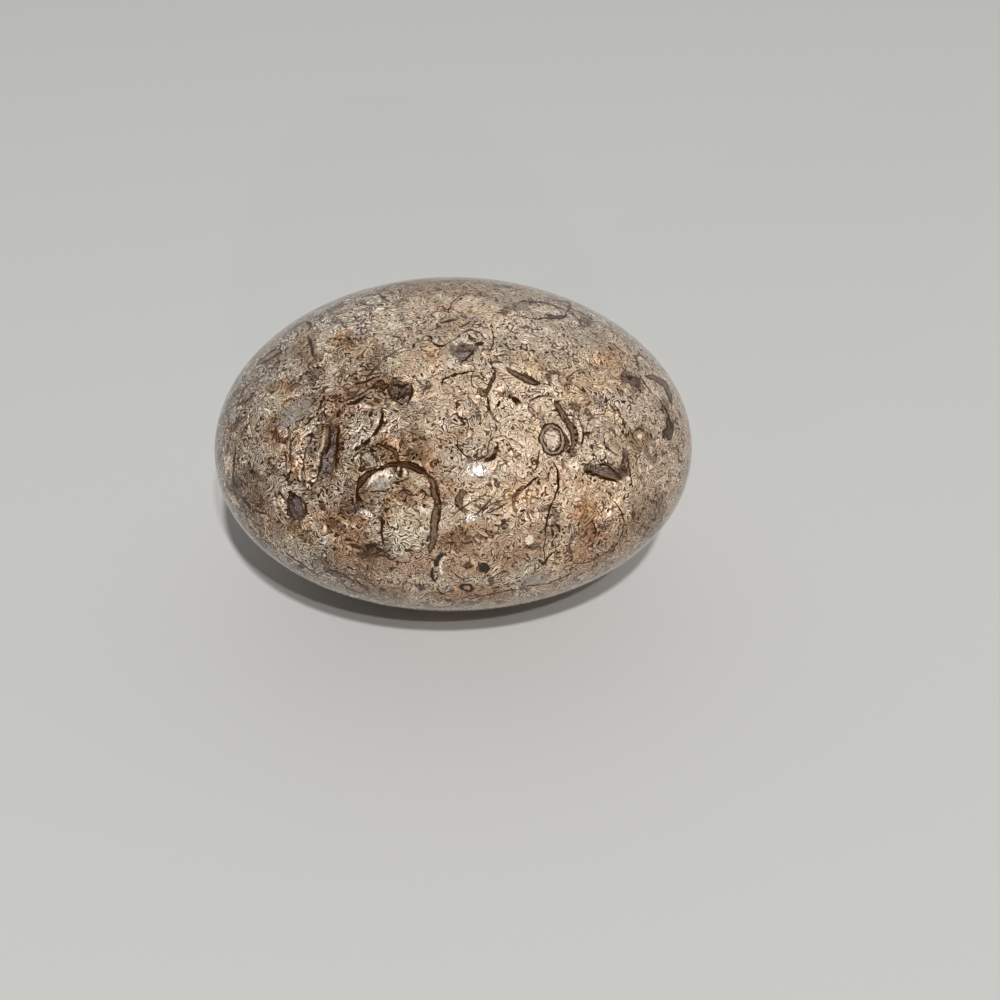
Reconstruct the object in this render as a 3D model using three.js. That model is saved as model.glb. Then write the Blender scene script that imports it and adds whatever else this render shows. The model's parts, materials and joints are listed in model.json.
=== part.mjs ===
// A palm stone of fossil-shell limestone: one thick, egg-like pebble, ground and polished all over.
// Millimetres, +Z up. The origin is on the surface it rests on, under the middle of the stone.
// +X runs along its length, and it rests on a small worn flat under its belly.
import * as THREE from 'three';
import { mergeVertices } from 'three/addons/utils/BufferGeometryUtils.js';

// Driving dimensions
const LENGTH = 70;        // along X
const WIDTH = 59;         // along Y
const HEIGHT = 44.5;      // along Z, from the resting flat to the crown
const FLAT_DEPTH = 0.35;  // how much of the round underside the resting flat has worn away
const CELLS = 16;         // facets along a quarter of the way round

// How the tumbled form departs from a true ellipsoid, each as a fraction of the local radius
const BELLY = 0.05;       // the widest level lies below the middle, and the crown tapers
const PLAN_CORNER = 0.01; // fuller at the four corners seen from above
const END_CORNER = -0.01; // leaner between the ends and the crown or the belly
const SIDE_CORNER = -0.02; // leaner between the long sides and the crown or the belly
const EGG = -0.008;       // the +X end is a little blunter than the -X end

const STONE_COLOUR = 0xb39a84;
const POLISHED = 0.12;

// A ball of unit radius with evenly spaced facets: a divided cube, each point moved out to the ball.
function unitBall(cells) {
  const cube = new THREE.BoxGeometry(2, 2, 2, cells, cells, cells);
  cube.deleteAttribute('normal');
  cube.deleteAttribute('uv');
  const ball = mergeVertices(cube);
  const place = ball.getAttribute('position');
  const point = new THREE.Vector3();
  const even = (side) => Math.tan((side * Math.PI) / 4);
  for (let i = 0; i < place.count; i += 1) {
    point.fromBufferAttribute(place, i);
    point.set(even(point.x), even(point.y), even(point.z)).normalize();
    place.setXYZ(i, point.x, point.y, point.z);
  }
  return ball;
}

// The radius of the tumbled form in the direction of a point on the unit ball.
function tumbledRadius({ x, y, z }) {
  const planCorner = PLAN_CORNER * 4 * x * x * y * y;
  const endCorner = END_CORNER * 4 * x * x * z * z;
  const sideCorner = SIDE_CORNER * 4 * y * y * z * z;
  const belly = -BELLY * z * (1 - z * z);
  const egg = EGG * x * (1 - x * x);
  return 1 + planCorner + endCorner + sideCorner + belly + egg;
}

function stoneGeometry() {
  const form = unitBall(CELLS);
  const place = form.getAttribute('position');
  const point = new THREE.Vector3();
  for (let i = 0; i < place.count; i += 1) {
    point.fromBufferAttribute(place, i);
    point.multiplyScalar(tumbledRadius(point));
    place.setXYZ(i, point.x, point.y, point.z);
  }

  // Fitted to its length, width and height, with the worn layer still on, and stood on z = 0
  form.computeBoundingBox();
  const span = form.boundingBox.getSize(new THREE.Vector3());
  const middle = form.boundingBox.getCenter(new THREE.Vector3());
  form.translate(-middle.x, -middle.y, -form.boundingBox.min.z);
  form.scale(LENGTH / span.x, WIDTH / span.y, (HEIGHT + FLAT_DEPTH) / span.z);

  // The resting flat
  for (let i = 0; i < place.count; i += 1) {
    place.setZ(i, Math.max(place.getZ(i) - FLAT_DEPTH, 0));
  }
  form.computeVertexNormals();
  return form;
}

const polishedLimestone = new THREE.MeshStandardMaterial({
  color: STONE_COLOUR,
  roughness: POLISHED,
  metalness: 0,
});

const stone = new THREE.Mesh(stoneGeometry(), polishedLimestone);
stone.name = 'shell_stone';

const part = new THREE.Group();
part.add(stone);

export default part;
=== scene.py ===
# %% [markdown]
# # A polished palm stone of fossil shells
# The subject is one thick, egg-like stone, about 70 mm long. It was cut from a limestone made of broken
# shells, tumbled, and polished until it shines. We load its plain solid first, so that everything made
# here has the right size and place.

# %% Load the frame
import json
import math
import bpy
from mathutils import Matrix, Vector

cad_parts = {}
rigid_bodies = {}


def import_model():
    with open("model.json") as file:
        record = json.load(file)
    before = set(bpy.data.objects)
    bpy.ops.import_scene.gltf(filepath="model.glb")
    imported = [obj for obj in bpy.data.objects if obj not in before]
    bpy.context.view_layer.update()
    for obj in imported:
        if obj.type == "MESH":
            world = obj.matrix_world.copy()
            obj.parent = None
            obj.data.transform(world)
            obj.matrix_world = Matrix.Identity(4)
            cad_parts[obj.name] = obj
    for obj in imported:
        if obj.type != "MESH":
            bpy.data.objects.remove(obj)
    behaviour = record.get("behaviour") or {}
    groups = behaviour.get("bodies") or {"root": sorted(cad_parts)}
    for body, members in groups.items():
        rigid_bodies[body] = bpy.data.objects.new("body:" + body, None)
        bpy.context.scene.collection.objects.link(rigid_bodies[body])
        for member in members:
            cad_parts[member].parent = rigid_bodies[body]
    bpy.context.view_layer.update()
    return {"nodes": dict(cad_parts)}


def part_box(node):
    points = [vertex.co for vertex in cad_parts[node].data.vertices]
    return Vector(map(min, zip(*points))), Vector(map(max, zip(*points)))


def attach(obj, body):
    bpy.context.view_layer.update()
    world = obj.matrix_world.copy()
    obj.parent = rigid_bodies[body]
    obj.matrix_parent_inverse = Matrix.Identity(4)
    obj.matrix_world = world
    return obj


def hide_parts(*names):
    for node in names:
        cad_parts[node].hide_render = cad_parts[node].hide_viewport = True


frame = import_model()
low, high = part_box("shell_stone")
MM = 0.001
middle = (low + high) / 2
length, width, height = (high - low) / MM
print(f"the stone is {length:.1f} x {width:.1f} x {height:.1f} mm")

# %% [markdown]
# ## The camera
# The stone lies on a table and is looked down on from in front, about 25 cm away. A camera is an object
# like any other: it looks along its own -Z, so it is stood up by turning it about X. The lens is a rather
# long one, so the stone spans nearly half of the frame.

# %% Camera
TILT_DOWN = 36           # degrees below level
LENS = 60                # mm, on a 36 mm wide frame
CAMERA_PLACE = Vector((6.8, -203.5, 158.6)) * MM


def add_camera(place, tilt_down, lens):
    turn = (math.radians(90 - tilt_down), 0, 0)
    bpy.ops.object.camera_add(location=place, rotation=turn)
    camera = bpy.context.object
    camera.name = "camera"
    camera.data.lens = lens
    camera.data.clip_start = 0.01
    bpy.context.scene.camera = camera
    return camera


add_camera(CAMERA_PLACE, TILT_DOWN, LENS)
print("the camera stands", round((CAMERA_PLACE - middle).length / MM), "mm from the stone")

# %% [markdown]
# ## Floor, light and air
# A polished stone shows its room: half of its look is what it mirrors. The room here is a pale floor, four
# lamps and a pale surround. The floor is one wide plane, rough enough to mirror nothing itself.

# %% Floor
FLOOR_COLOUR = (0.60, 0.60, 0.585, 1)
FLOOR_SIDE = 6           # m
FLOOR_ROUGHNESS = 0.6


def plain_material(name, colour, roughness):
    material = bpy.data.materials.new(name)
    material.use_nodes = True
    shader = material.node_tree.nodes["Principled BSDF"]
    shader.inputs["Base Color"].default_value = colour
    shader.inputs["Roughness"].default_value = roughness
    return material


def add_floor():
    bpy.ops.mesh.primitive_plane_add(size=FLOOR_SIDE, location=(0, 0, low.z))
    floor = bpy.context.object
    floor.name = "floor"
    floor.data.materials.append(plain_material("pale floor", FLOOR_COLOUR, FLOOR_ROUGHNESS))


add_floor()
print("floor at", low.z, "m")

# %% [markdown]
# The key lamp stands in front, a little to the right. It is small enough to leave a clear bright spot on
# the polish, and two small lamps, low down, leave fainter glints. Most of the light comes from the high
# lamp, which draws the narrow dark shadow under the belly. It is hidden from all reflections, as if it and
# the lens had crossed polarising filters, so the stone shows no mirror image of it.

# %% Lamps
LAMP_DISTANCE = 2.5      # m
LAMPS = (                # name, degrees above level, degrees to the right of straight in front, m, W
    ("key lamp", 46, 13, 0.075, 16),
    ("high lamp", 53, 9, 0.12, 41),
    ("left glint", 12.2, -32.4, 0.018, 1.9),
    ("low glint", 14.2, 6.8, 0.02, 3.6),
)
POLARISED = "high lamp"  # not mirrored in the polish


def add_lamp(name, height_angle, side_angle, width, power):
    up = math.radians(height_angle)
    aside = math.radians(side_angle)
    towards = Vector((math.sin(aside) * math.cos(up), -math.cos(aside) * math.cos(up), math.sin(up)))
    turn = towards.to_track_quat("Z", "Y").to_euler()
    bpy.ops.object.light_add(type="AREA", location=middle + towards * LAMP_DISTANCE, rotation=turn)
    lamp = bpy.context.object
    lamp.name = name
    lamp.data.shape = "DISK"
    lamp.data.size = width
    lamp.data.energy = power
    lamp.visible_glossy = name != POLARISED


for lamp in LAMPS:
    add_lamp(*lamp)
print(len(LAMPS), "lamps")

# %% [markdown]
# The surround fills the shadows and is what the polish mirrors between the lamps. It is brighter behind the
# stone than on the camera's side, so the top and the rims take a soft sheen and the front stays clear.

# %% Surround
FRONT_BRIGHTNESS = 0.05  # on the camera's side
BACK_BRIGHTNESS = 0.50   # behind the stone
FRONT_ENDS, BACK_STARTS = -0.5, 0.9    # how far back a direction points, from -1 to 1
WARM_WHITE = (1, 0.985, 0.96, 1)


def set_surround():
    world = bpy.data.worlds.new("surround")
    bpy.context.scene.world = world
    world.use_nodes = True
    nodes = world.node_tree.nodes
    links = world.node_tree.links
    direction = nodes.new("ShaderNodeTexCoord")
    split = nodes.new("ShaderNodeSeparateXYZ")
    brightness = nodes.new("ShaderNodeMapRange")
    brightness.interpolation_type = "SMOOTHSTEP"
    brightness.inputs["From Min"].default_value = FRONT_ENDS
    brightness.inputs["From Max"].default_value = BACK_STARTS
    brightness.inputs["To Min"].default_value = FRONT_BRIGHTNESS
    brightness.inputs["To Max"].default_value = BACK_BRIGHTNESS
    links.new(direction.outputs["Generated"], split.inputs["Vector"])
    links.new(split.outputs["Y"], brightness.inputs["Value"])
    links.new(brightness.outputs["Result"], nodes["Background"].inputs["Strength"])
    nodes["Background"].inputs["Color"].default_value = WARM_WHITE


set_surround()
bpy.context.scene.view_settings.view_transform = "Standard"
print("room ready")

# %% [markdown]
# ## The stone's form
# The loaded solid is a coarse cage of flat facets. Polished stone has none, so a copy of the cage is
# smoothed: its loose triangles are welded, paired back into four-sided faces, and rounded by a
# Subdivision Surface, which turns a cage of quads into one even skin. The frame's own mesh is left
# alone, and the new piece stands for it.

# %% Smooth skin from the cage
WELD = 0.01 * MM
PAIRING = math.radians(60)   # how far two triangles may lean and still be paired
SMOOTHING = 3            # each level cuts every face in four


def select_only(thing):
    bpy.ops.object.select_all(action="DESELECT")
    thing.select_set(True)
    bpy.context.view_layer.objects.active = thing


def smooth_copy(node, name):
    select_only(node)
    bpy.ops.object.duplicate()
    skin = bpy.context.object
    skin.name = name
    bpy.ops.object.parent_clear(type="CLEAR_KEEP_TRANSFORM")
    bpy.ops.object.mode_set(mode="EDIT")
    bpy.ops.mesh.select_all(action="SELECT")
    bpy.ops.mesh.remove_doubles(threshold=WELD)
    bpy.ops.mesh.tris_convert_to_quads(face_threshold=PAIRING, shape_threshold=PAIRING)
    bpy.ops.mesh.normals_make_consistent(inside=False)
    bpy.ops.object.mode_set(mode="OBJECT")
    quads = sum(len(face.vertices) == 4 for face in skin.data.polygons)
    print("cage:", len(skin.data.polygons), "faces, of them", quads, "with four sides")
    skin.modifiers.new("smooth", "SUBSURF").levels = SMOOTHING
    skin.modifiers["smooth"].render_levels = SMOOTHING
    bpy.ops.object.modifier_apply(modifier="smooth")
    bpy.ops.object.shade_smooth()
    for key in [key for key in skin.keys() if key.startswith("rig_")]:
        del skin[key]
    return skin


stone = smooth_copy(frame["nodes"]["shell_stone"], "polished_shell_stone")
print("skin:", len(stone.data.polygons), "faces,", [round(side / MM, 2) for side in stone.dimensions])

# %% [markdown]
# ## Small helpers for materials
# A material is a chain of nodes. Writing one by hand in code soon hides the idea behind sockets and
# links, so a few short helpers add a node, plug in what is given, and hand back its result. A value can
# be a plain number, a colour or another node's output.

# %% Node helpers
tree = None              # the node tree that the helpers add to


def plug(socket, value):
    if isinstance(value, bpy.types.NodeSocket):
        tree.links.new(value, socket)
    elif value is not None:
        socket.default_value = value


def calc(operation, *given):
    node = tree.nodes.new("ShaderNodeMath")
    node.operation = operation
    for socket, value in zip(node.inputs, given):
        plug(socket, value)
    return node.outputs[0]


def times(first, *others):
    for other in others:
        first = calc("MULTIPLY", first, other)
    return first


def biggest(first, *others):
    for other in others:
        first = calc("MAXIMUM", first, other)
    return first


def fade(value, start, end, to_start=0.0, to_end=1.0):
    """A smooth step: to_start at start, to_end at end."""
    node = tree.nodes.new("ShaderNodeMapRange")
    node.interpolation_type = "SMOOTHSTEP"
    node.clamp = False
    for socket, given in zip(node.inputs, (value, start, end, to_start, to_end)):
        plug(socket, given)
    return node.outputs["Result"]


def mix(mask, first, second, blend="MIX"):
    node = tree.nodes.new("ShaderNodeMix")
    node.data_type = "RGBA"
    node.blend_type = blend
    plug(node.inputs["Factor"], mask)
    plug(node.inputs["A"], first)
    plug(node.inputs["B"], second)
    return node.outputs["Result"]


def palette(value, *colours):
    """Flat steps from one colour to the next as the value goes from 0 to 1."""
    node = tree.nodes.new("ShaderNodeValToRGB")
    node.color_ramp.interpolation = "CONSTANT"
    plug(node.inputs[0], value)
    steps = node.color_ramp.elements
    while len(steps) < len(colours):
        steps.new(0.5)
    for number, colour in enumerate(colours):
        steps[number].position = number / len(colours)
        steps[number].color = colour
    return node.outputs["Color"]


# %% [markdown]
# A pattern in solid rock runs through the whole stone, so every pattern here is worked out from the place
# of a point in the block, in millimetres. These helpers shift, turn and wobble that place, and fill it
# with cloudy noise or with cells.

# %% Place helpers
def vector(operation, first, second=None):
    node = tree.nodes.new("ShaderNodeVectorMath")
    node.operation = operation
    plug(node.inputs[0], first)
    plug(node.inputs[1], second)
    return node.outputs["Value"] if operation in ("LENGTH", "DOT_PRODUCT") else node.outputs["Vector"]


def scaled(place, factor):
    node = tree.nodes.new("ShaderNodeVectorMath")
    node.operation = "SCALE"
    plug(node.inputs[0], place)
    plug(node.inputs["Scale"], factor)
    return node.outputs["Vector"]


def shifted(place, x, y, z):
    return vector("ADD", place, (x, y, z))


def turned(place, axis, degrees):
    node = tree.nodes.new("ShaderNodeVectorRotate")
    node.rotation_type = axis + "_AXIS"
    plug(node.inputs["Vector"], place)
    node.inputs["Angle"].default_value = math.radians(degrees)
    return node.outputs[0]


def channels(value):
    node = tree.nodes.new("ShaderNodeSeparateXYZ")
    plug(node.inputs[0], value)
    return list(node.outputs)


def joined(first, second, third):
    node = tree.nodes.new("ShaderNodeCombineXYZ")
    for socket, value in zip(node.inputs, (first, second, third)):
        plug(socket, value)
    return node.outputs[0]


def noise_node(place, grain, detail, roughness):
    node = tree.nodes.new("ShaderNodeTexNoise")
    plug(node.inputs["Vector"], place)
    node.inputs["Scale"].default_value = 1 / grain
    node.inputs["Detail"].default_value = detail
    node.inputs["Roughness"].default_value = roughness
    return node


def noise(place, grain, detail=1.0, roughness=0.5):
    """Cloudy noise from 0 to 1, mostly near 0.5, with blotches about grain mm across."""
    return noise_node(place, grain, detail, roughness).outputs["Fac"]


def wobbled(place, grain, reach, detail=1.0):
    """The same place, pushed about by up to about reach mm."""
    push = noise_node(place, grain, detail, 0.5).outputs["Color"]
    return vector("ADD", place, scaled(vector("SUBTRACT", push, (0.5, 0.5, 0.5)), 2 * reach))


def cells(place, size):
    node = tree.nodes.new("ShaderNodeTexVoronoi")
    plug(node.inputs["Vector"], place)
    node.inputs["Scale"].default_value = 1 / size
    return node.outputs


print("helpers ready")

# %% [markdown]
# ## The ground of the rock
# The stone is lime mud that set hard around broken shells. Its ground is tan, greyer and darker towards
# one end, paler on top. We start the material from these wide zones, and let a slow noise push their
# borders about so that no straight edge shows.

# %% Zones
TAN = (0.493, 0.387, 0.283, 1)
DUSK = (0.30, 0.236, 0.171, 1)
PALE = (0.435, 0.364, 0.284, 1)
FOOT_SHADE_TINT = (0.64, 0.45, 0.33, 1)
DUSK_STARTS, DUSK_ENDS = -3, -15      # mm along the stone
PALE_STARTS, PALE_ENDS = 27, 42       # mm up, counted a little more towards the back
FOOT_STARTS, FOOT_ENDS = 6, 18        # mm up: below this the rock is browner and darker, partly its own colour and partly painted shade
FAR_STARTS, FAR_ENDS = -13, -8        # mm back, counted less the higher up

material = bpy.data.materials.new("polished shell limestone")
material.use_nodes = True
tree = material.node_tree
shader = tree.nodes["Principled BSDF"]
place = scaled(tree.nodes.new("ShaderNodeTexCoord").outputs["Object"], 1 / MM)
x, y, z = channels(place)
drift = calc("SUBTRACT", noise(place, 11, 3), 0.5)
dusky = fade(calc("MULTIPLY_ADD", drift, 26, x), DUSK_STARTS, DUSK_ENDS)
raised = calc("MULTIPLY_ADD", drift, 30, calc("MULTIPLY_ADD", y, 0.6, z))
rock = mix(dusky, TAN, DUSK)
rock = mix(times(fade(raised, PALE_STARTS, PALE_ENDS), 0.8), rock, PALE)
foot = fade(calc("MULTIPLY_ADD", drift, 22, z), FOOT_ENDS, FOOT_STARTS)
behind = fade(calc("MULTIPLY_ADD", z, -0.67, y), FAR_STARTS, FAR_ENDS)
# Partly painted shade: the foot tint darkens the lowest part as well as browning it, as if less light
# reached it.
rock = mix(foot, rock, FOOT_SHADE_TINT, "MULTIPLY")
print("zones: tan, dusk from", DUSK_STARTS, "mm, pale above", PALE_STARTS, "mm")

# %% [markdown]
# The mud is not even: it was laid down, torn up and laid down again, which left ragged flakes with a dark
# rim on one side. Noise cut into steps gives such flakes. The whole part of each step picks its tone, and
# the start of each step is its rim.

# %% Ragged flakes
BUFF = (0.52, 0.39, 0.265, 1)
PEACH = (0.60, 0.43, 0.295, 1)
CREAM = (0.74, 0.60, 0.45, 1)
SAGE = (0.40, 0.335, 0.24, 1)
ASH = (0.27, 0.21, 0.155, 1)
SLATE = (0.20, 0.155, 0.125, 1)
PLUM = (0.125, 0.083, 0.066, 1)
UMBER = (0.10, 0.045, 0.02, 1)
RIM = (0.30, 0.19, 0.11, 1)


def flakes(ground, place, grain, steps, detail, tones, strength, rim):
    """Lay flakes on the ground; hand back the ground, the rims and how far each step has got."""
    climb = times(noise(place, grain, detail, 0.58), steps)
    drifting = times(noise(shifted(place, 40, 0, -40), 3 * grain), 2.5)
    pick = calc("FRACT", calc("MULTIPLY_ADD", calc("FLOOR", climb), 0.618, drifting))
    part = calc("FRACT", climb)
    edge = times(fade(part, rim, 0.0), fade(noise(shifted(place, 0, 33, 9), 0.8 * grain), 0.44, 0.54))
    return mix(strength, ground, palette(pick, *tones)), edge, part


tones = (BUFF, SAGE, PEACH, ASH, BUFF, CREAM, SAGE, PEACH)
torn = wobbled(place, 5.0, 2.0, 2.0)
bolder = calc("MULTIPLY_ADD", behind, 0.18, 0.24)
rock, rims, shelf = flakes(rock, torn, 7.0, 11, 4.0, tones, bolder, 0.13)
rock, small_rims, small_shelf = flakes(rock, shifted(torn, 9, 50, 3), 2.6, 8, 3.0, tones, 0.17, 0.16)
rock = mix(times(fade(shelf, 0.45, 0.0), 0.24), rock, RIM, "MULTIPLY")
rock = mix(times(fade(small_shelf, 0.4, 0.0), 0.20), rock, RIM, "MULTIPLY")
ink = biggest(times(rims, 0.9), times(small_rims, 0.8))

# %% [markdown]
# Iron in the water left rust-brown clouds, and soot-dark muddle gathered in the dusky end. Both are
# clouds of noise that multiply what lies under them, as a stain does, so the flakes still show through.

# %% Stains
RUST_TINT = (0.86, 0.70, 0.53, 1)
MUDDLE_TINT = (0.42, 0.34, 0.28, 1)
rusty = calc("MULTIPLY_ADD", behind, 0.05, noise(shifted(torn, -40, 8, 21), 6.5, 3.0, 0.6))
rusty = fade(rusty, 0.57, 0.70)
rock = mix(times(rusty, 0.7), rock, RUST_TINT, "MULTIPLY")
ragged = noise(wobbled(shifted(place, 5, 70, 3), 1.2, 0.6, 2.0), 4.2, 4, 0.6)
ragged = calc("MULTIPLY_ADD", behind, 0.03, ragged)
muddled = fade(calc("MULTIPLY_ADD", dusky, 0.06, ragged), 0.60, 0.68)
rock = mix(times(muddled, calc("MULTIPLY_ADD", dusky, 0.5, 0.35)), rock, MUDDLE_TINT, "MULTIPLY")

# %% [markdown]
# Where two beds of mud met, a pale seam wanders across the stone. It follows one level of a slow noise, as
# a contour line follows one height on a map, and comes and goes.

# %% Pale seams
SEAM = (0.64, 0.47, 0.33, 1)
level = calc("ABSOLUTE", calc("SUBTRACT", noise(shifted(torn, 17, -9, 80), 8.0, 2.0), 0.5))
there = fade(noise(shifted(place, 55, 5, 0), 4.0, 1.0), 0.47, 0.55)
seam = times(fade(level, 0.022, 0.015), there)
seam_rim = times(fade(calc("ABSOLUTE", calc("SUBTRACT", level, 0.024)), 0.006, 0.0), there)
rock = mix(times(seam, 0.75), rock, SEAM)
ink = biggest(times(ink, calc("SUBTRACT", 1.0, seam)), times(seam_rim, 0.8))
print("ground has", len(tree.nodes), "nodes")

# %% [markdown]
# ## Broken shells
# Every cut through a shell is an arc: a thin wall, often dark, with other mud caught inside. To scatter
# such arcs through the block, it is divided into cells. Each cell holds one hollow ball, shifted and sized
# by the cell's own random number, and only its near half is kept. The polished surface cuts these balls
# anywhere, which gives open arcs, hooks and rings of every size. The two layers of the largest shells are
# kept to the far side, since the front gets its large fossils one by one.

# %% Scattered shells
def scattered_shells(place, size, seed, axis, angle, stretch):
    at = turned(shifted(place, seed, 2 * seed, -seed), axis, angle)
    at = wobbled(vector("MULTIPLY", at, (1.0, stretch, 1.0)), size * 0.3, size * 0.10)
    cell = cells(at, size)
    chance = cell["Color"]
    first, second, third = channels(chance)
    heading = vector("NORMALIZE", vector("SUBTRACT", chance, (0.5, 0.5, 0.5)))
    radius = calc("MULTIPLY_ADD", second, 0.34 * size, 0.16 * size)
    from_cell = vector("SUBTRACT", at, cell["Position"])
    from_ball = vector("SUBTRACT", from_cell, scaled(heading, times(radius, 0.8)))
    outward = calc("SUBTRACT", vector("LENGTH", from_ball), radius)
    reach = calc("MULTIPLY_ADD", third, 0.22 * size, 0.30 * size)
    kept = fade(calc("SUBTRACT", vector("LENGTH", from_cell), reach), 0.0, -0.06 * size)
    kept = times(kept, fade(vector("DOT_PRODUCT", from_ball, heading), 0.15 * size, 0.05 * size))
    return outward, kept, first, second, third


SHELL_LAYERS = (         # cell size, seed, share left out, and how the layer is turned and stretched
    (19.0, 64, 0.05, "X", 70, 1.3),
    (11.0, 33, 0.08, "Y", -20, 0.8),
    (9.0, 0, 0.35, "X", 30, 1.5),
    (5.5, 20, 0.40, "Y", 50, 0.6),
    (3.4, 47, 0.45, "Z", 40, 1.7),
    (1.9, 81, 0.50, "Z", -35, 0.6),
)
FAR_SIDE_LAYERS = 2      # the first layers, which only fill the side away from the marks laid one by one
bold = 0.0
for number, (size, seed, left_out, axis, angle, stretch) in enumerate(SHELL_LAYERS):
    outward, kept, first, second, third = scattered_shells(place, size, seed, axis, angle, stretch)
    there = times(kept, fade(first, left_out, left_out + 0.02))
    if number < FAR_SIDE_LAYERS:
        there = times(there, behind)
    thick = times(0.03 * size, calc("ADD", first, 0.5))
    from_wall = calc("SUBTRACT", calc("ABSOLUTE", outward), thick)
    caught = times(fade(outward, 0.0, -0.12), there, 0.45)
    wall = times(fade(from_wall, 0.03, -0.03), there, 0.85)
    skin = times(fade(calc("ABSOLUTE", from_wall), 0.11, 0.02), there)
    rock = mix(caught, rock, palette(third, CREAM, SAGE, PEACH, ASH, BUFF))
    rock = mix(wall, rock, palette(second, PLUM, UMBER, SLATE, BUFF))
    ink = biggest(ink, times(skin, calc("MULTIPLY_ADD", second, 0.7, 0.25)))
    if number < FAR_SIDE_LAYERS:
        bold = biggest(bold, wall)
print(len(SHELL_LAYERS), "layers of scattered shells")

# %% [markdown]
# ## The large fossils of the front
# The big fossils can't be left to chance: each has its own place on the front. They are laid one by one on
# a flat sheet that faces the reader, tilted as the front of the stone is, and the sheet's pattern runs
# straight back into the block. Each kind of mark is one node group, made once and used many times. A
# group gets the spot that is being coloured, measured along and across the mark, and it hands on the
# colour, the ink lines and the calm of what is under it, changed where the mark lies.

# %% A mark's node group
KINDS = {"At": "Vector", "Forward": "Vector", "Sideways": "Vector", "Fill": "Color", "Colour": "Color"}


def start_group(name, given, handed_on):
    global tree
    tree = bpy.data.node_groups.new(name, "ShaderNodeTree")
    for label in given + handed_on:
        kind = "NodeSocket" + KINDS.get(label, "Float")
        tree.interface.new_socket(label, in_out="INPUT", socket_type=kind)
        if label in handed_on:
            tree.interface.new_socket(label, in_out="OUTPUT", socket_type=kind)
    return tree.nodes.new("NodeGroupInput").outputs


def hand_on(**results):
    group_end = tree.nodes.new("NodeGroupOutput")
    for label, result in results.items():
        plug(group_end.inputs[label], result)
    return tree


def along_and_across(given):
    """How far along a mark a point is, squared, and how far across it, measured from its bent middle."""
    ahead = vector("DOT_PRODUCT", given["At"], given["Forward"])
    aside = vector("DOT_PRODUCT", given["At"], given["Sideways"])
    squared = times(ahead, ahead)
    return squared, calc("MULTIPLY_ADD", squared, given["Bend"], aside)


# %% [markdown]
# A stain is a soft cloud that tints the rock. A hairline is a fine crack or the thin edge of a shell: only
# ink, so it needs the fewest nodes.

# %% Stains and hairlines
def stain_group():
    given = start_group("stain", ["At", "Forward", "Sideways", "Fill", "Strength"], ["Colour"])
    ahead = vector("DOT_PRODUCT", given["At"], given["Forward"])
    aside = vector("DOT_PRODUCT", given["At"], given["Sideways"])
    cover = fade(calc("MULTIPLY_ADD", ahead, ahead, times(aside, aside)), 1.4, 0.4, 0.0, given["Strength"])
    return hand_on(Colour=mix(cover, given["Colour"], given["Fill"], "MULTIPLY"))


def hairline_group():
    given = start_group("hairline", ["At", "Forward", "Sideways", "Bend", "Strength"], ["Ink"])
    squared, aside = along_and_across(given)
    out_by = calc("MULTIPLY_ADD", squared, squared, calc("ABSOLUTE", aside))
    return hand_on(Ink=biggest(given["Ink"], fade(out_by, 1.45, 0.9, 0.0, given["Strength"])))


STAIN = stain_group()
HAIRLINE = hairline_group()

# %% [markdown]
# A wall is a shell seen on edge, a chip is a rounded lump, a slab is an angular one, and a ring is a shell
# cut across. Each works out how deep inside its own outline a point lies. From that one depth come its
# fill, its dark rim and its calm, which keeps the fine grain of the mud off it.

# %% Walls, chips, slabs and rings
LAID = ["At", "Forward", "Sideways", "Bend", "Width", "Rag", "Fill", "Strength", "Edge", "Quiet", "Soft"]
CARRIED = ["Colour", "Ink", "Calm"]


def lay_over(given, depth):
    depth = calc("MULTIPLY_ADD", given["Rag"], given["Width"], depth)
    cover = fade(depth, -0.06, given["Soft"], 0.0, given["Strength"])
    rim = fade(calc("ABSOLUTE", depth), 0.2, 0.07, 0.0, given["Edge"])
    left = times(given["Ink"], calc("SUBTRACT", 1.0, cover))
    calm = biggest(given["Calm"], times(cover, given["Quiet"]))
    return hand_on(Colour=mix(cover, given["Colour"], given["Fill"]), Ink=biggest(left, rim), Calm=calm)


def wall_group():
    given = start_group("shell wall", LAID, CARRIED)
    squared, aside = along_and_across(given)
    out_by = calc("MULTIPLY_ADD", times(squared, squared), given["Width"], calc("ABSOLUTE", aside))
    return lay_over(given, calc("SUBTRACT", given["Width"], out_by))


def chip_group():
    given = start_group("shell chip", LAID, CARRIED)
    squared, aside = along_and_across(given)
    out_by = calc("SQRT", calc("MULTIPLY_ADD", aside, aside, squared))
    return lay_over(given, times(calc("SUBTRACT", 1.0, out_by), given["Width"]))


def slab_group():
    given = start_group("shell slab", LAID, CARRIED)
    squared, aside = along_and_across(given)
    out_by = biggest(calc("SQRT", squared), calc("ABSOLUTE", aside))
    return lay_over(given, times(calc("SUBTRACT", 1.0, out_by), given["Width"]))


def ring_group():
    given = start_group("shell ring", LAID + ["Radius"], CARRIED)
    squared, aside = along_and_across(given)
    out_by = calc("SQRT", calc("MULTIPLY_ADD", aside, aside, squared))
    off = calc("ABSOLUTE", times(calc("SUBTRACT", 1.0, out_by), given["Radius"]))
    return lay_over(given, calc("SUBTRACT", given["Width"], off))


WALL = wall_group()
CHIP = chip_group()
SLAB = slab_group()
RING = ring_group()
tree = material.node_tree
print("six kinds of mark")

# %% [markdown]
# The finishes of the marks, in plain words. A fill has a colour, how well it covers, how dark its rim is,
# how calm it is inside and how soft its border is, in millimetres.

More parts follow.
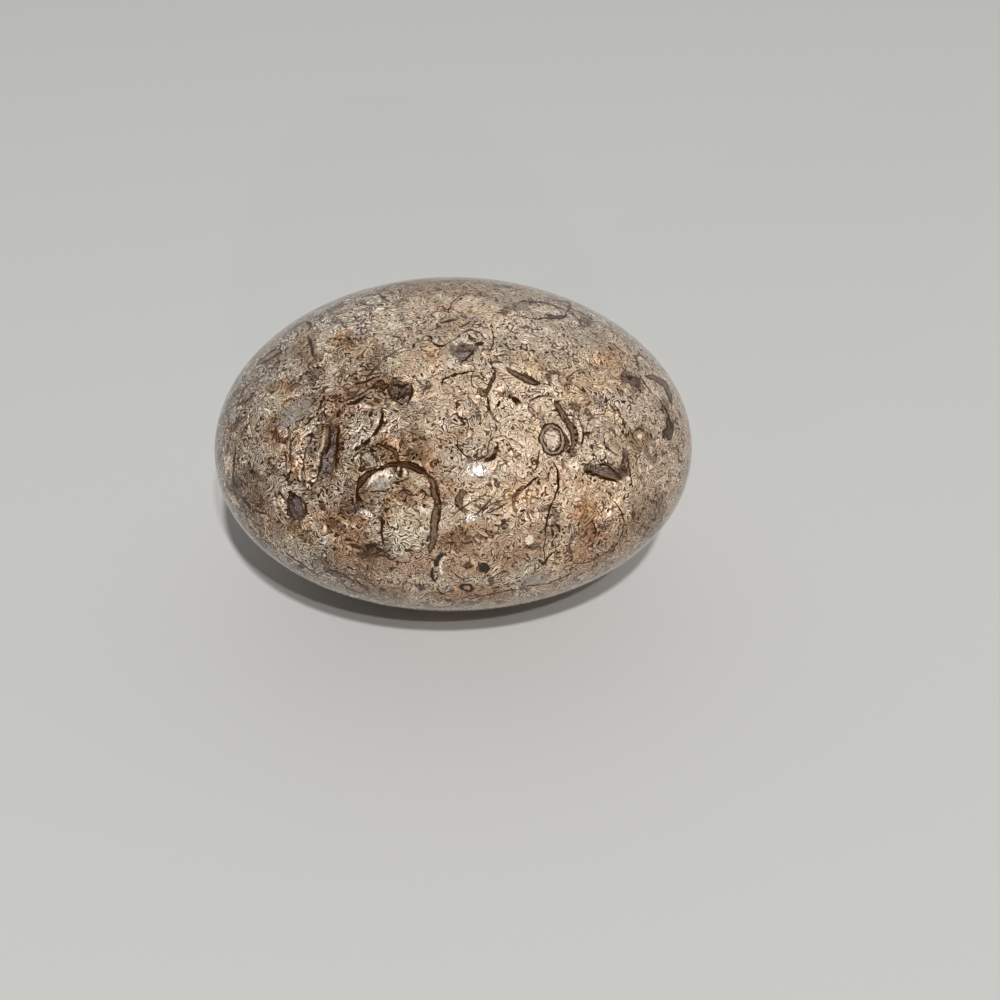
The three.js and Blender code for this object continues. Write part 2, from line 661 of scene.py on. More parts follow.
# %% Finishes of the marks
FILLS = {
    "wall": ((0.135, 0.080, 0.047, 1), 0.88, 0.95, 0.6, 0.10),
    "dark wall": ((0.050, 0.025, 0.012, 1), 0.94, 1.0, 0.5, 0.10),
    "thin wall": ((0.29, 0.215, 0.155, 1), 0.85, 1.0, 0.75, 0.10),
    "plum": ((0.13, 0.082, 0.064, 1), 0.85, 0.75, 0.2, 0.2),
    "dark plum": ((0.080, 0.048, 0.035, 1), 0.9, 1.0, 0.3, 0.15),
    "jet": ((0.010, 0.006, 0.005, 1), 0.95, 1.0, 0.6, 0.2),
    "slate": ((0.135, 0.100, 0.086, 1), 0.85, 0.7, 0.0, 0.2),
    "clear grey": ((0.275, 0.24, 0.205, 1), 0.8, 0.2, 0.7, 0.4),
    "ringed grey": ((0.27, 0.225, 0.165, 1), 0.6, 0.9, 0.5, 0.25),
    "cream": ((0.70, 0.55, 0.40, 1), 0.65, 0.0, 0.45, 0.35),
    "infill": ((0.53, 0.445, 0.31, 1), 0.6, 0.0, 0.2, 0.7),
    "chalk": ((0.84, 0.72, 0.58, 1), 0.85, 0.0, 0.7, 0.2),
    "chalk edged": ((0.60, 0.48, 0.365, 1), 0.8, 0.5, 0.35, 0.2),
    "blush lump": ((0.62, 0.42, 0.30, 1), 0.6, 0.3, 0.2, 0.3),
    "liver": ((0.23, 0.115, 0.055, 1), 0.7, 0.45, 0.4, 0.4),
}
STAINS = {
    "rust": ((0.76, 0.57, 0.42, 1), 0.85),
    "ochre": ((0.96, 0.85, 0.71, 1), 0.8),
    # gloom and shade are partly painted shade, where they lie along the foot and the rims
    "gloom": ((0.48, 0.40, 0.33, 1), 0.85),
    "shade": ((0.74, 0.62, 0.53, 1), 0.85),
    "cool": ((0.83, 0.81, 0.77, 1), 0.8),
    "mauve": ((0.60, 0.53, 0.51, 1), 0.85),
    "blush": ((1.14, 1.05, 0.96, 1), 0.85),
    "bright": ((1.20, 1.19, 1.16, 1), 0.8),
}
LINES = {"ink": 1.0, "brown": 0.92, "faint": 0.75}
print(len(FILLS), "fills,", len(STAINS), "stains,", len(LINES), "lines")

# %% [markdown]
# A mark's node group is given weights: three numbers that turn a place on the sheet into how far along the
# mark it lies, and three for how far across. One helper works them out from a centre, a turn and two half
# sizes. The other takes the start, middle and end of a bend, and adds how strongly it bends.

# %% Measures of a mark
def measure_along(centre, turn, long, short):
    """Weights that turn a point (across, up, 1) into its place along and across a mark."""
    cos, sin = math.cos(math.radians(turn)), math.sin(math.radians(turn))
    forward = (cos / long, sin / long, -(centre[0] * cos + centre[1] * sin) / long)
    sideways = (-sin / short, cos / short, (centre[0] * sin - centre[1] * cos) / short)
    return forward, sideways


def bend_through(start, halfway, end, overlap):
    centre = [(first + last) / 2 for first, last in zip(start, end)]
    turn = math.degrees(math.atan2(end[1] - start[1], end[0] - start[0]))
    forward, sideways = measure_along(centre, turn, math.dist(start, end) / 2, 1.0)
    share = sum(weight * part for weight, part in zip(forward, (*halfway, 1)))
    rise = sum(weight * part for weight, part in zip(sideways, (*halfway, 1))) / (1 - share * share)
    forward = [weight / overlap for weight in forward]
    return forward, (sideways[0], sideways[1], sideways[2] - rise), rise * overlap ** 2


print("a bend 10 mm long and 1 mm high rises", bend_through((0, 0), (5, 1), (10, 0), 1.0)[2], "mm")

# %% [markdown]
# The sheet keeps what has been laid so far. `chip`, `slab` and `ring` put a mark at a centre, given its two
# half sizes and its turn in degrees, `pit` a small dark one, and `line` leads a crack or a wall through
# points, three to a bend. Where a line has several bends, they overlap a little, so that it has no gaps.

# %% The sheet
OVERLAP = 1.12           # in a line of several bends, each is drawn this many times its length


class Sheet:
    def __init__(self, at, loosely_at, rag, colour, ink):
        self.at = at
        self.rag = rag
        self.loosely_at = loosely_at
        self.now = {"Colour": colour, "Ink": ink, "Calm": 0.0}
        self.marks = 0

    def lay(self, group, at, **given):
        node = tree.nodes.new("ShaderNodeGroup")
        node.node_tree = group
        for label, value in {"At": at, **given, **self.now}.items():
            if label in node.inputs:
                plug(node.inputs[label], value)
        for output in node.outputs:
            self.now[output.name] = output
        self.marks += 1

    def lay_filled(self, group, look, **given):
        fill, strength, edge, quiet, soft = FILLS[look]
        self.lay(group, self.at, Rag=self.rag, Fill=fill, Strength=strength, Edge=edge, Quiet=quiet,
                 Soft=soft, **given)

    def stain(self, look, centre, long, short, turn=0):
        forward, sideways = measure_along(centre, turn, long, short)
        fill, strength = STAINS[look]
        self.lay(STAIN, self.loosely_at, Forward=forward, Sideways=sideways, Fill=fill, Strength=strength)

    def pit(self, look, centre, long, short, turn=0):
        forward, sideways = measure_along(centre, turn, 1.1 * long, short)
        self.lay(HAIRLINE, self.at, Forward=forward, Sideways=sideways, Bend=0.0, Strength=LINES[look])

    def chip(self, look, centre, long, short, turn=0, group=CHIP):
        forward, sideways = measure_along(centre, turn, long, short)
        width = min(long, short)
        self.lay_filled(group, look, Forward=forward, Sideways=sideways, Bend=0.0, Width=width)

    def slab(self, look, centre, long, short, turn=0):
        self.chip(look, centre, long, short, turn, SLAB)

    def ring(self, look, centre, long, short, half_width, turn=0):
        forward, sideways = measure_along(centre, turn, long, short)
        self.lay_filled(RING, look, Forward=forward, Sideways=sideways, Bend=0.0, Width=half_width,
                        Radius=min(long, short))

    def line(self, look, half_width, *points):
        bends = list(zip(points[:-2:2], points[1:-1:2], points[2::2]))
        overlap = 1.0 if len(bends) == 1 else OVERLAP
        for start, halfway, end in bends:
            forward, sideways, bend = bend_through(start, halfway, end, overlap)
            if look in LINES:
                sideways = [weight / half_width for weight in sideways]
                bend /= half_width
                self.lay(HAIRLINE, self.at, Forward=forward, Sideways=sideways, Bend=bend,
                         Strength=LINES[look])
            else:
                self.lay_filled(WALL, look, Forward=forward, Sideways=sideways, Bend=bend, Width=half_width)


print("the sheet can be laid")

# %% [markdown]
# The sheet is laid along the front. Places on it are wobbled a little first, so that no mark has an even
# edge. The rock's own colour and ink push them too, so that marks follow the flakes they lie in. That
# also makes the renderer finish the ground before the marks, and so it has fewer numbers to remember at
# once, of which it can hold only about 250. The tints get places that wobble far more, which makes clouds
# of them. Points behind the stone's middle are sent far aside, past every mark.

# %% Lay the sheet
SHEET_FACES = 34         # degrees above level
MARKS_END = -1.0         # mm towards the reader from the stone's middle; behind that there are none
FAR_AWAY = 500           # mm, how far aside the places behind are sent
PUSH = 0.12              # mm, for full white or full ink
RAGGED = 1.5             # of a mark's width, from the deepest notch to the highest tip

front = turned(shifted(place, 0, 0, -height / 2), "X", SHEET_FACES - 90)
across, up, towards = channels(wobbled(wobbled(front, 1.8, 0.30), 0.5, 0.12))
across = calc("MULTIPLY_ADD", calc("LESS_THAN", towards, MARKS_END), FAR_AWAY, across)
across = calc("MULTIPLY_ADD", ink, PUSH, across)
up = calc("MULTIPLY_ADD", rock, PUSH, up)
spot = joined(across, up, 0.0)
loose_across, loose_up, push = channels(wobbled(spot, 2.6, 2.4, 3.0))
loosely = joined(loose_across, loose_up, 1.0)
rag = times(calc("SUBTRACT", noise(spot, 1.1, 2.0, 0.6), 0.5), RAGGED)
across = calc("MULTIPLY_ADD", rag, 0.05, across)
up = calc("MULTIPLY_ADD", push, 0.05, up)
sheet = Sheet(joined(across, up, 1.0), loosely, rag, rock, ink)
print("the sheet faces", SHEET_FACES, "degrees up")

# %% [markdown]
# ## The marks, one by one
# The tints go on first, because everything else lies over them. A tint has a centre, two half sizes and
# sometimes a turn, all in millimetres and degrees on the sheet. The pale ones come from the mud itself:
# it bleached cool in some places, and stayed bright or took a blush in others.

# %% Pale tints
def lay_tints(tints):
    for look, places in tints.items():
        for centre, long, short, *turn in places:
            sheet.stain(look, centre, long, short, *turn)
        print(len(places), look, "tints")


PALE_TINTS = {
    "cool": (
        ((-22.4, 10.5), 5.0, 2.4, 25), ((-24.0, -11.5), 6.5, 4.5, -30), ((0.6, 6.9), 2.6, 2.2),
        ((-5.0, 3.0), 2.4, 2.2), ((11.9, 9.6), 5.5, 2.6, -10), ((22.4, 0.3), 2.3, 2.0),
        ((-29.0, 0.0), 2.5, 6.0),
    ),
    "bright": (
        ((8.6, 2.4), 5.0, 6.0), ((-3.0, 18.0), 4.6, 1.7), ((5.4, -8.6), 5.0, 2.6),
        ((-19.6, -12.6), 2.6, 2.2), ((22.8, 3.2), 1.6, 1.4), ((24.2, -6.6), 3.2, 2.6),
        ((-20.0, -12.4), 3.0, 2.8), ((-6.8, 6.0), 2.8, 2.8), ((22.8, -9.2), 2.0, 3.6),
        ((2.2, 12.8), 2.0, 1.6), ((17.8, 15.8), 1.8, 1.2), ((6.4, 15.6), 3.4, 1.8),
        ((10.8, 12.0), 1.6, 1.2), ((12.6, 1.2), 1.3, 2.6), ((-7.6, 1.6), 1.6, 5.6),
        ((10.2, 9.8), 1.8, 1.6), ((24.6, 13.4), 2.6, 2.4, -50), ((7.4, 17.6), 3.2, 1.6),
        ((18.0, 16.8), 2.2, 1.2, -30), ((22.4, 2.6), 1.4, 1.6), ((3.2, 7.0), 3.4, 2.2),
        ((-6.2, 4.9), 2.2, 1.4), ((12.2, -1.4), 1.8, 3.4), ((15.3, 6.6), 3.2, 1.6, 20),
        ((3.6, 6.2), 2.5, 2.2), ((16.4, -0.8), 2.8, 3.6), ((13.0, 8.6), 4.2, 2.2), ((7.0, 15.6), 2.6, 1.6),
        ((-9.0, 16.4), 3.2, 2.0), ((20.6, -8.4), 2.6, 2.2), ((10.0, -10.2), 2.6, 2.0),
    ),
    "blush": (
        ((-4.4, 9.9), 4.2, 2.3), ((21.3, 10.2), 4.0, 3.4), ((18.0, 6.2), 3.0, 2.4),
        ((-21.4, -1.3), 3.0, 3.2), ((14.0, -7.9), 7.0, 4.0),
    ),
}
lay_tints(PALE_TINTS)

# %% [markdown]
# Iron in the water left the ochre and the rust. The shade and the gloom are partly dark patches of the rock,
# and partly painted shade: those along the foot and at the rims darken where the stone turns from the light.

# %% Dark tints and painted shade
DARK_TINTS_AND_SHADE = {
    "ochre": (
        ((-23.6, 5.0), 2.0, 2.4), ((-14.0, 12.4), 4.5, 1.8), ((-13.0, 9.5), 3.2, 1.6),
        ((0.2, 15.2), 2.2, 1.3), ((-7.0, -9.0), 2.0, 1.5), ((-13.2, -15.3), 3.2, 1.8),
        ((16.0, -16.4), 3.6, 2.4),
    ),
    "rust": (
        ((-2.8, -2.6), 1.2, 1.8, 20), ((-13.6, -11.6), 3.4, 2.2), ((-15.5, 12.8), 1.8, 0.9),
        ((18.4, -11.4), 2.2, 3.0), ((3.0, -21.5), 6.0, 1.6),
    ),
    # Partly painted shade: the entries along the foot and at the rims darken where less light falls.
    "shade": (
        ((-11.2, 6.2), 4.4, 2.0, 8), ((-1.0, -17.0), 13.0, 2.2), ((-20.0, 12.6), 2.0, 3.0),
        ((-22.0, 7.3), 1.6, 1.2), ((-14.2, 14.2), 2.0, 1.2), ((-20.2, -3.6), 1.8, 2.5),
        ((-22.6, 6.6), 1.4, 1.8), ((-16.4, -10.2), 3.0, 1.6), ((-8.0, -0.6), 2.2, 1.4),
        ((-17.6, 4.6), 4.2, 1.6), ((-24.4, 0.4), 1.8, 2.2), ((-11.6, -5.0), 2.2, 1.4),
        ((0.6, 0.0), 2.0, 1.2), ((12.8, -12.9), 3.6, 1.6), ((-10.0, -20.8), 4.2, 1.6, -12),
        ((-5.2, -11.2), 1.6, 1.6), ((20.5, -14.5), 6.0, 3.4, 30), ((-14.5, 3.6), 2.0, 3.4),
        ((-24.5, -11.5), 3.6, 3.0, -40), ((-12.5, -16.5), 4.6, 4.0), ((-2.6, -6.6), 4.4, 2.6),
        ((-8.0, -9.4), 1.8, 2.4), ((3.0, -13.6), 5.6, 2.4), ((-20.4, -5.2), 1.8, 1.7),
        ((9.6, -15.4), 3.0, 1.6), ((0.6, 17.9), 3.4, 1.0), ((-1.0, 21.4), 9.0, 1.6),
    ),
    # Partly painted shade: the entries at the left and right rims darken where the stone turns from the
    # light.
    "gloom": (
        ((-4.4, 0.1), 2.0, 1.5), ((-10.6, -15.2), 2.3, 1.2), ((-16.5, -2.0), 2.6, 5.0),
        ((-27.6, -7.4), 2.4, 4.0), ((25.8, 0.0), 2.0, 1.8), ((27.5, -10.5), 3.0, 4.0),
        ((1.0, -13.9), 2.6, 1.6), ((-6.8, -2.3), 3.4, 1.5, -8), ((25.5, 7.3), 1.5, 1.5),
        ((30.3, 3.0), 1.2, 3.0), ((-12.8, -9.4), 2.2, 1.2), ((-11.0, -8.2), 1.6, 1.3),
        ((-4.4, -2.4), 1.6, 1.2), ((-13.6, 7.4), 1.8, 1.4), ((2.2, -12.9), 1.2, 1.0),
        ((-9.8, 10.4), 1.6, 1.8),
    ),
    "mauve": (((-14.1, -7.5), 2.6, 1.9, -20),),
}
lay_tints(DARK_TINTS_AND_SHADE)

# %% [markdown]
# Then come the soft fills: mud of another colour that was caught in or between the shells. They have
# hardly any rim, and the walls and cracks that bound them are laid later.

# %% Fills of the front
sheet.chip("infill", (-5.5, -12), 3.0, 3.4)
sheet.chip("cream", (6.3, 5.6), 2.6, 0.95, turn=85)
sheet.chip("cream", (8.5, 8.3), 2.6, 1.4, turn=-30)
sheet.chip("cream", (2.7, 18.0), 2.6, 1.6)
sheet.chip("infill", (-7.5, 10.2), 2.4, 1.3, turn=20)
sheet.chip("infill", (-24.2, 4.6), 1.5, 2.2, turn=-20)
sheet.chip("clear grey", (11.4, -19.3), 1.9, 0.9, turn=8)
sheet.chip("clear grey", (-20.8, 3.2), 3.0, 1.5, turn=38)
sheet.chip("cream", (12.6, 4.1), 1.6, 1.1)
sheet.chip("cream", (2.2, 9.2), 1.3, 0.6, turn=10)
print(sheet.marks, "marks so far")

# %% [markdown]
# The largest fossil is a shell cut across its curve, so it shows as a horseshoe: a thin dark wall over the
# top, a thicker one down the right leg, and pale mud caught inside. A wall is laid through three points to
# a bend, the way an arch is drawn with three touches of a pen. A chalky patch lies under its left shoulder.

# %% The horseshoe
sheet.line("wall", 0.43, (-2.6, -5.1), (-1.6, -7.2), (-1.6, -9.2), (-1.8, -12.0), (-2.4, -15.1))
sheet.line("dark wall", 0.27, (-9.3, -4.3), (-5.8, -3.8), (-2.2, -5.5))
sheet.line("dark wall", 0.32, (-8.6, -4.4), (-10.9, -5.3), (-12.1, -7.3))
sheet.line("ink", 0.14, (-8.9, -4.0), (-5.2, -3.4), (-1.8, -5.8), (-1.15, -8.2), (-1.35, -11.6))
sheet.chip("infill", (-4.2, -5.7), 1.7, 1.0, turn=-30)
sheet.chip("clear grey", (-8.9, -6.2), 2.0, 0.95, turn=12)
sheet.line("chalk", 0.42, (-10.9, -7.1), (-10.0, -5.5), (-6.9, -5.2))
sheet.line("brown", 0.11, (-10.4, -7.2), (-8.9, -7.3), (-7.4, -6.7))
sheet.line("brown", 0.11, (-7.5, -6.4), (-6.2, -5.9), (-5.0, -5.3))
sheet.stain("gloom", (-5.8, -8.2), 1.6, 0.8, turn=-15)
sheet.line("ink", 0.12, (-6.9, -7.6), (-5.4, -7.1), (-4.2, -8.1))
sheet.slab("liver", (-6.8, -9.5), 0.45, 0.3, turn=-60)
print(sheet.marks, "marks so far")

# %% [markdown]
# Under the arch, the left leg is no more than a crack, and the mud between the legs holds small splinters.

# %% Under the arch
sheet.line("ink", 0.17, (-8.65, -10.0), (-8.85, -12), (-8.5, -14.6))
sheet.pit("ink", (-8.25, -9.65), 0.32, 0.18, turn=10)
sheet.line("ink", 0.26, (-12.1, -6.9), (-11.9, -8.0), (-11.3, -8.7))
sheet.stain("gloom", (-10.4, -16.0), 2.6, 0.8)
sheet.pit("ink", (-12.4, -14.6), 0.7, 0.25, turn=-15)
sheet.pit("ink", (-10.3, -14.4), 0.8, 0.25, turn=10)
sheet.pit("ink", (-9.2, -14.9), 0.5, 0.2, turn=-20)
sheet.pit("ink", (-13.4, -13.7), 0.5, 0.2, turn=5)
sheet.pit("ink", (-5.3, -15.2), 0.6, 0.14, turn=8)
sheet.line("brown", 0.1, (-9.9, -15.6), (-8.9, -15.2), (-8.0, -15.6))
sheet.line("brown", 0.12, (-9.9, -16.2), (-8.9, -15.8), (-8.0, -16.1))
sheet.line("brown", 0.12, (-4.7, -10.6), (-3.7, -11.2), (-4.6, -12.3))
sheet.pit("brown", (-2.7, -13.4), 0.3, 0.13, turn=85)
sheet.line("brown", 0.09, (-6.9, -13.0), (-6.9, -14.0), (-6.4, -15.2))
print(sheet.marks, "marks so far")

# %% [markdown]
# Left of the horseshoe's top lies the end of a coiled shell, cut straight across: fine rings round a small
# grey core. Above them hangs a thick black hook, the edge of another shell.

# %% Rings and a hook
sheet.stain("gloom", (-11.0, -1.6), 2.0, 0.8, turn=20)
sheet.chip("ringed grey", (-10.6, -3.3), 1.25, 1.1, turn=15)
sheet.line("brown", 0.09, (-11.9, -4.4), (-12.6, -2.9), (-11.5, -1.9))
sheet.line("brown", 0.09, (-11.7, -2.0), (-10.0, -1.4), (-8.3, -2.0))
sheet.line("brown", 0.09, (-11.1, -2.8), (-11.1, -3.5), (-10.7, -4.0))
sheet.line("wall", 0.22, (-8.9, -1.2), (-7.4, -1.6), (-6.6, -3.4))
sheet.line("ink", 0.24, (-8.85, 3.9), (-9.1, 1.4), (-10.4, -0.1))
sheet.line("ink", 0.26, (-10.3, 0.0), (-11.3, -1.1), (-12.6, -1.8))
print(sheet.marks, "marks so far")

# %% [markdown]
# The plum-grey chip at the upper left has flat sides and sharp corners, so it is made of two slabs, one
# of them turned by 45 degrees. Dark streaks trail from it to the left, where the mud was dragged along.

# %% A dark chip and its streaks
sheet.slab("slate", (-6.45, 6.15), 1.35, 0.9)
sheet.slab("slate", (-6.05, 5.4), 0.95, 0.85, turn=45)
sheet.line("ink", 0.16, (-5.0, 7.2), (-4.9, 5.6), (-5.7, 4.1))
sheet.line("ink", 0.16, (-8.1, 7.15), (-7.0, 6.8), (-5.2, 7.1))
sheet.line("brown", 0.13, (-8.0, 6.2), (-7.4, 4.9), (-5.9, 4.2))
sheet.slab("dark plum", (-8.9, 6.8), 0.6, 0.4, turn=-50)
sheet.line("liver", 0.35, (-8.8, 6.8), (-10.5, 7.0), (-12.2, 6.5))
sheet.line("ink", 0.15, (-9.2, 8.2), (-11.0, 7.4), (-12.9, 7.0))
sheet.line("brown", 0.13, (-8.8, 8.6), (-10.3, 8.3), (-12.0, 8.2))
sheet.line("brown", 0.14, (-14.2, 4.8), (-12.5, 5.3), (-11.1, 6.1), (-10.6, 6.5), (-9.5, 6.2))
sheet.line("ink", 0.22, (-13.7, 4.3), (-12.4, 4.6), (-11.1, 5.6))
sheet.chip("blush lump", (-11.6, 3.9), 1.7, 0.7, turn=15)
sheet.line("brown", 0.12, (-8.3, 5.2), (-9.1, 5.9), (-10.2, 5.8))
sheet.pit("ink", (-10.4, 3.0), 0.45, 0.22, turn=80)
sheet.pit("ink", (-14.8, 3.1), 0.6, 0.24, turn=80)
sheet.line("faint", 0.08, (-9.4, 10.05), (-7.4, 11.1), (-5.2, 11.7))
sheet.pit("ink", (-4.95, 12.2), 0.3, 0.2, turn=80)
sheet.line("brown", 0.11, (-13.65, 10.9), (-13.5, 10.2), (-13.6, 9.5))
sheet.line("brown", 0.10, (-10.6, 0.9), (-10.2, 1.7), (-10.5, 2.5))
sheet.pit("ink", (-4.4, -0.5), 0.5, 0.2, turn=15)
sheet.pit("ink", (-3.3, -0.3), 0.5, 0.16, turn=-10)
sheet.line("brown", 0.12, (-7.0, 0.6), (-6.2, 1.0), (-5.3, 0.5))
print(sheet.marks, "marks so far")

# %% [markdown]
# The middle of the stone is pale and calm, and shows fine cracks and thin shell edges best. Most are
# hairlines. A short thick hook stands just above the place where the key lamp is mirrored.

# %% The centre
sheet.line("wall", 0.17, (6.2, 8.85), (5.7, 7.3), (5.05, 5.6))
sheet.line("ink", 0.17, (5.1, 5.8), (5.3, 3.9), (6.75, 1.7))
sheet.line("brown", 0.12, (6.15, 1.8), (6.35, 1.2), (6.05, 0.6))
sheet.pit("ink", (6.6, 4.3), 0.4, 0.17, turn=60)
sheet.line("faint", 0.07, (7.1, 6.5), (7.3, 5.4), (7.0, 4.6))
sheet.pit("ink", (9.0, 4.8), 0.6, 0.35, turn=-45)
sheet.chip("blush lump", (2.2, 3.5), 1.1, 0.9, turn=20)
sheet.line("brown", 0.08, (1.1, 3.1), (1.3, 4.5), (2.5, 4.7))
sheet.line("faint", 0.08, (2.5, 4.7), (3.6, 4.3), (3.4, 3.1))
sheet.line("brown", 0.09, (3.3, 2.9), (2.3, 2.1), (1.2, 2.8))
sheet.line("brown", 0.09, (2.4, 2.3), (2.55, 1.3), (2.3, 0.25))
sheet.pit("ink", (2.05, 0.75), 0.16, 0.13)
sheet.line("brown", 0.08, (5.45, 2.0), (5.5, -0.6), (4.7, -2.5))
sheet.line("ink", 0.1, (1.15, 0.0), (1.6, -1.8), (3.4, -3.0), (4.6, -2.9), (5.2, -1.6))
sheet.line("brown", 0.1, (4.5, -2.85), (5.1, -2.4), (5.35, -1.6))
sheet.line("ink", 0.3, (6.6, -1.1), (6.1, -2.4), (4.7, -3.5))
sheet.pit("ink", (6.7, -1.95), 0.16, 0.14)
sheet.pit("ink", (0.5, -1.85), 0.2, 0.14, turn=70)
sheet.pit("ink", (0.55, -2.85), 0.25, 0.14)
sheet.line("brown", 0.1, (2.5, -4.5), (2.7, -4.3), (3.15, -3.85))
sheet.line("brown", 0.11, (0.4, -10.7), (2.6, -9.0), (5.5, -7.3))
sheet.line("brown", 0.11, (0.9, -11.2), (4.0, -9.9), (5.9, -7.8))
sheet.line("brown", 0.08, (4.5, -10.0), (5.8, -8.8), (7.7, -8.3))
sheet.line("brown", 0.08, (4.6, -10.1), (6.6, -9.5), (7.8, -8.4))
print(sheet.marks, "marks so far")

# %% [markdown]
# Higher up, the shells are seen at a lower angle and look drawn out sideways: a small dark slab, and a
# long pale arc with a dark edge.

# %% Above the centre
sheet.line("brown", 0.08, (-0.15, 16.5), (0.25, 18.8), (1.6, 20.0), (2.3, 20.15), (3.1, 20.2))
sheet.pit("ink", (3.35, 19.85), 0.25, 0.15)
sheet.line("ink", 0.17, (-3.3, 13.7), (-2.7, 13.6), (-2.45, 12.9), (-1.6, 12.15), (-0.3, 12.55))
sheet.line("brown", 0.12, (-0.3, 12.55), (0.6, 13.1), (1.4, 13.85), (2.6, 14.55), (4.35, 13.9))
sheet.line("brown", 0.12, (-3.0, 14.55), (-2.3, 14.6), (-1.4, 15.1))
sheet.line("brown", 0.14, (-1.5, 15.6), (0.0, 15.9), (1.0, 16.0))
sheet.line("brown", 0.14, (1.1, 14.95), (1.9, 15.2), (2.7, 15.7))
sheet.slab("slate", (1.75, 11.3), 1.05, 1.0, turn=45)
sheet.slab("slate", (1.9, 11.9), 1.4, 0.4, turn=4)
sheet.line("ink", 0.13, (3.4, 11.9), (2.7, 11.0), (1.7, 9.9))
sheet.pit("ink", (4.0, 12.6), 0.6, 0.25, turn=15)
sheet.line("brown", 0.08, (5.4, 15.1), (5.95, 13.2), (5.15, 11.35))
sheet.line("ink", 0.12, (-1.1, 6.7), (-0.7, 7.5), (0.1, 8.0), (1.2, 8.25), (2.95, 8.65))
sheet.line("faint", 0.07, (-3.6, 7.15), (-2.3, 8.0), (-0.8, 8.5))
sheet.line("brown", 0.08, (3.6, 9.0), (3.0, 7.6), (3.65, 6.2))
sheet.line("chalk", 0.16, (5.6, 9.65), (6.7, 9.6), (7.7, 9.2))
sheet.line("wall", 0.30, (7.6, 9.3), (9.8, 7.9), (12.3, 7.1))
sheet.line("ink", 0.13, (8.0, 8.7), (9.9, 7.5), (12.2, 6.9))
sheet.line("ink", 0.12, (9.6, 8.7), (11.0, 8.0), (12.0, 7.3))
sheet.line("brown", 0.12, (6.2, 10.6), (6.9, 10.95), (8.0, 10.8))
sheet.line("brown", 0.14, (5.7, 10.0), (6.5, 10.0), (7.3, 9.75))
print(sheet.marks, "marks so far")

# %% [markdown]
# The oval shell lies at the very top, so it looks flat. Its left half is filled with grey, its right half
# with cream, and its wall is thickest where it closes, at the right.

# %% The oval shell
sheet.stain("mauve", (9.6, 18.1), 2.4, 0.9, turn=-4)
sheet.chip("clear grey", (9.5, 18.2), 1.9, 0.7, turn=-4)
sheet.chip("cream", (12.8, 17.9), 2.0, 0.8, turn=-8)
sheet.line("brown", 0.14, (8.9, 18.8), (13.0, 19.0), (16.6, 17.6))
sheet.line("brown", 0.10, (8.9, 16.8), (13.0, 16.5), (16.6, 17.4))
sheet.line("wall", 0.26, (14.4, 19.5), (16.7, 18.3), (16.0, 17.1))
sheet.line("wall", 0.2, (16.2, 17.1), (14.8, 16.7), (13.2, 17.1))
sheet.line("brown", 0.13, (-10.6, 19.8), (-10.0, 21.1), (-6.0, 21.8))
print(sheet.marks, "marks so far")

# %% [markdown]
# Right of the centre is a shell cut across as a closed ring, with a pale core, and round its right side a
# brown band. The band's outer edge is toothed, so five small dark pits are set along it.

# %% The ring and its band
sheet.ring("thin wall", (13.75, -0.4), 1.45, 1.75, 0.25, turn=12)
sheet.chip("chalk edged", (13.75, -0.35), 1.05, 1.3, turn=10)
sheet.line("brown", 0.12, (15.0, 0.9), (15.7, -0.3), (14.7, -2.1))
sheet.line("wall", 0.36, (14.2, 4.7), (14.95, 3.3), (16.3, 1.3))
sheet.line("wall", 0.46, (15.5, 2.3), (16.75, 0.1), (15.9, -2.3))
sheet.pit("ink", (15.9, -2.0), 0.6, 0.22)
sheet.line("ink", 0.12, (15.9, -0.5), (15.7, -1.4), (15.0, -2.2))
for tooth in ((16.75, 1.2), (16.95, 0.35), (16.9, -0.45), (16.85, -1.15), (16.6, -1.9)):
    sheet.pit("ink", tooth, 0.26, 0.17, turn=10)
sheet.line("cream", 0.32, (16.7, 2.8), (17.5, 0.6), (17.1, -1.8))
sheet.line("ink", 0.13, (16.9, 2.9), (17.95, 0.6), (17.2, -2.0))
sheet.pit("ink", (18.45, 0.35), 0.36, 0.27, turn=-30)
sheet.line("brown", 0.08, (18.5, 0.7), (18.9, 2.4), (20.6, 3.1))
sheet.line("brown", 0.15, (10.7, 4.2), (11.6, 5.1), (14.3, 5.35))
sheet.line("brown", 0.16, (10.7, 4.4), (10.6, 3.6), (11.2, 2.9))
sheet.slab("plum", (16.95, 3.95), 0.55, 0.35, turn=-25)
sheet.line("brown", 0.09, (15.8, 5.8), (16.4, 8.2), (19.0, 9.3))
sheet.line("brown", 0.09, (20.7, 0.3), (21.4, -1.6), (22.9, -2.5))
sheet.line("brown", 0.08, (22.0, 4.8), (23.2, 3.0), (23.9, 0.9))
sheet.line("faint", 0.08, (21.2, 4.9), (22.3, 3.0), (22.4, 1.2))
print(sheet.marks, "marks so far")

# %% [markdown]
# At the right lies a brown chip in the shape of a wing, dark along its top. A long crack runs down beside
# it, from the ring almost to the foot.

